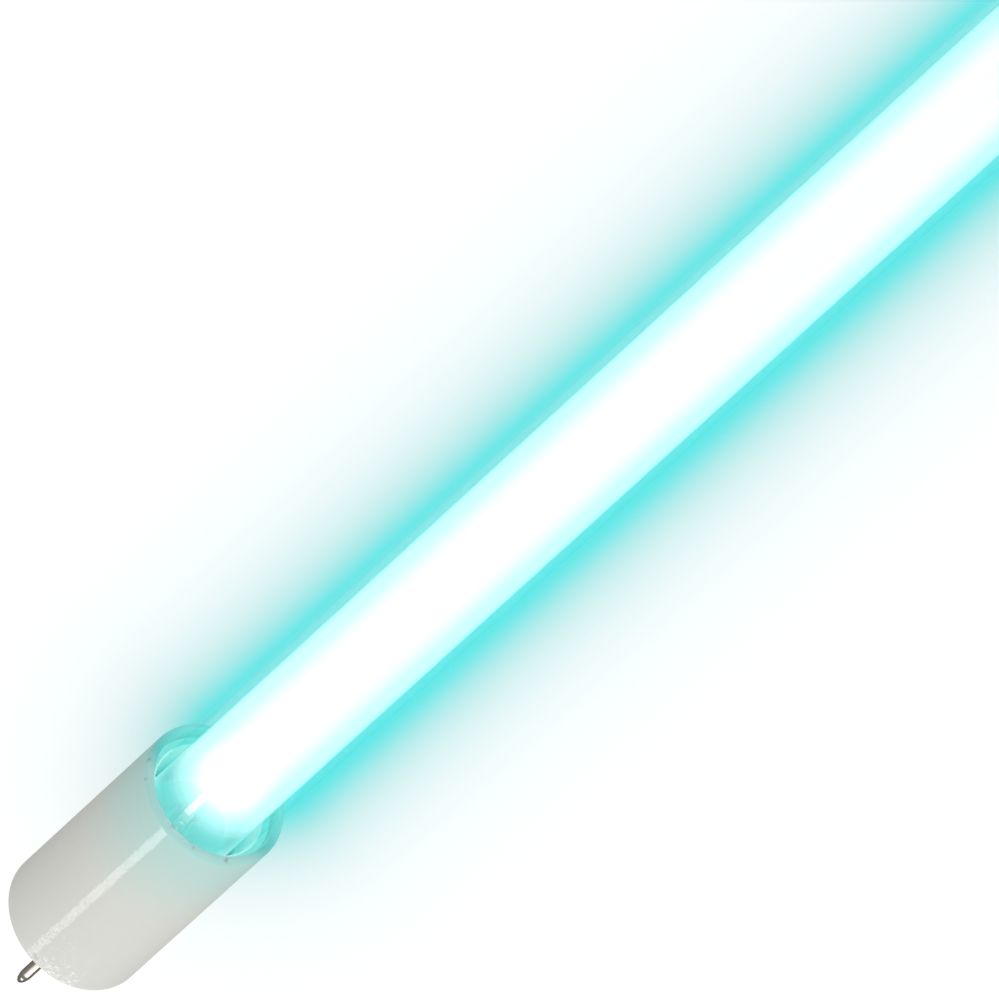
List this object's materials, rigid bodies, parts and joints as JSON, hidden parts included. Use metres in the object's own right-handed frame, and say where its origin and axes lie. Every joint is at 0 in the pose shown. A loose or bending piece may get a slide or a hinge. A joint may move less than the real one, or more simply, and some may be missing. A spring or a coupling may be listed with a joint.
{
  "type": "germicidal lamp tube",
  "caption": "Double-ended ultraviolet germicidal lamp: clear quartz tube, press-sealed at both ends, in glazed ceramic caps with contact pins",
  "frame": {"origin": "middle of the lamp, on the axis of the tube", "axes": "X along the tube, +X out of the right cap; the two pins of each end stand one above the other along Z; the pictured end is the left one, at -X"},
  "size_m": [0.3196, 0.0192, 0.0192],
  "materials": {
    "quartz": "clear, slightly wet looking quartz",
    "cap_ceramic": "off-white glaze, satin to glossy",
    "cement": "dull, slightly porous",
    "pin_metal": "bright nickel plate",
    "lead_wire": "drawn nickel wire",
    "foil_metal": "rolled molybdenum",
    "electrode_coat": "white emitter coating on tungsten wire",
    "mercury": "liquid metal, mirror bright"
  },
  "bodies": {
    "root": {"quartz_tube": "quartz", "mercury_bead": "mercury", "left_cap": "cap_ceramic", "left_cement": "cement", "left_pin_top": "pin_metal", "left_pin_bottom": "pin_metal", "left_outer_lead_top": "lead_wire", "left_outer_lead_bottom": "lead_wire", "left_foil_top": "foil_metal", "left_foil_bottom": "foil_metal", "left_inner_lead_top": "lead_wire", "left_inner_lead_bottom": "lead_wire", "left_filament": "electrode_coat", "right_cap": "cap_ceramic", "right_cement": "cement", "right_pin_top": "pin_metal", "right_pin_bottom": "pin_metal", "right_outer_lead_top": "lead_wire", "right_outer_lead_bottom": "lead_wire", "right_foil_top": "foil_metal", "right_foil_bottom": "foil_metal", "right_inner_lead_top": "lead_wire", "right_inner_lead_bottom": "lead_wire", "right_filament": "electrode_coat"}
  },
  "joints": []
}
